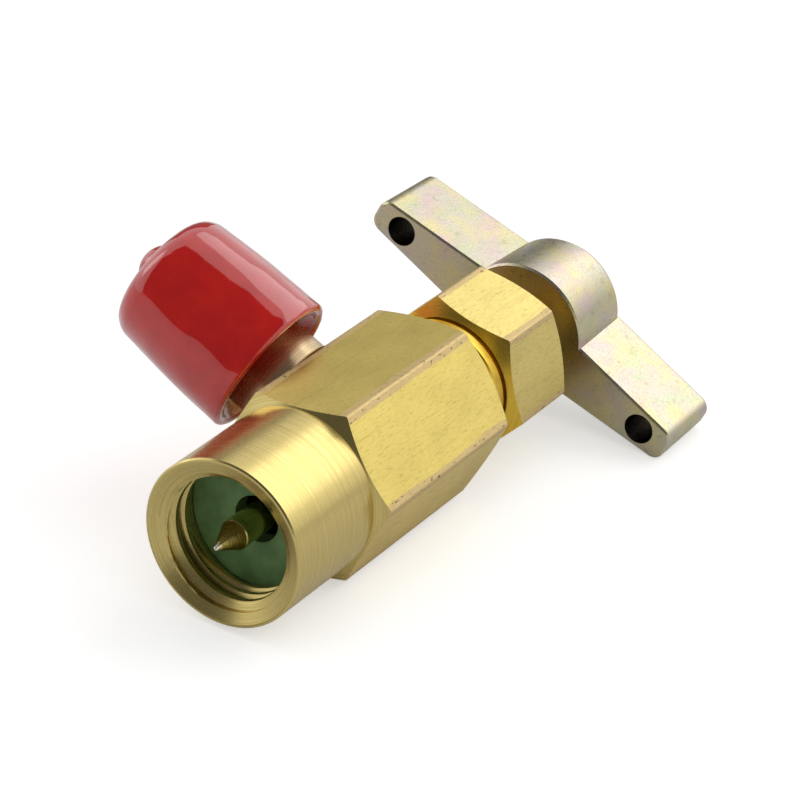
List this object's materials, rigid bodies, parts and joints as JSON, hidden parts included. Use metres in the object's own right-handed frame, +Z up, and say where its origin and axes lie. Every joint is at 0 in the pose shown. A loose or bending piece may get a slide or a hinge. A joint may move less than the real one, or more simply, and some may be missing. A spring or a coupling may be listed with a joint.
{
  "type": "refrigerant can tap",
  "caption": "Brass needle valve that screws on a refrigerant can, pierces it with a needle turned by a T-handle, and feeds a hose through a capped side port.",
  "frame": {"origin": "centre of the mouth's rim, on the can thread's axis", "axes": "+Y along the main axis from the mouth to the T-handle; +Z up with the tap lying on an edge of its body and a tip of its handle, as it comes to rest; the side port points to -X and 25 degrees up"},
  "size_m": [0.0442, 0.0642, 0.0258],
  "materials": {
    "body_brass": "drawn bar flats with fine lengthwise scratches, turned sleeve",
    "gasket_rubber": "matt",
    "port_brass": "turned, pinkish from brazing",
    "bonnet_brass": "drawn bar flats, bright turned chamfers",
    "seal_plastic": "matt",
    "ring_rubber": "matt",
    "stem_brass": "turned",
    "needle_steel": "ground",
    "handle_zinc": "die-cast, yellow passivated, iridescent",
    "cap_vinyl": "glossy soft vinyl"
  },
  "bodies": {
    "valve": {"valve_body": "body_brass", "can_gasket": "gasket_rubber", "side_port": "port_brass", "bonnet": "bonnet_brass", "bonnet_seal": "seal_plastic"},
    "ring": {"stem_o_ring": "ring_rubber"},
    "spindle": {"valve_stem": "stem_brass", "piercing_needle": "needle_steel", "t_handle": "handle_zinc"},
    "cap": {"dust_cap": "cap_vinyl"}
  },
  "joints": [
    {"name": "stem_travel", "type": "slide", "parent": "valve", "child": "ring", "axis": [0, 1, 0], "range_m": [-0.00375, 0.0075]},
    {"name": "handle_turn", "type": "hinge", "parent": "ring", "child": "spindle", "pos_m": [0, 0.0585, 0], "axis": [0, 1, 0], "range_deg": [-1081, 2161]},
    {"name": "cap_pull", "type": "slide", "parent": "valve", "child": "cap", "axis": [-0.9063, 0, 0.4226], "range_m": [0, 0.022]}
  ],
  "couplings": [
    {"joint": "handle_turn", "follows": "stem_travel", "rad_per_m": 5026.5}
  ]
}
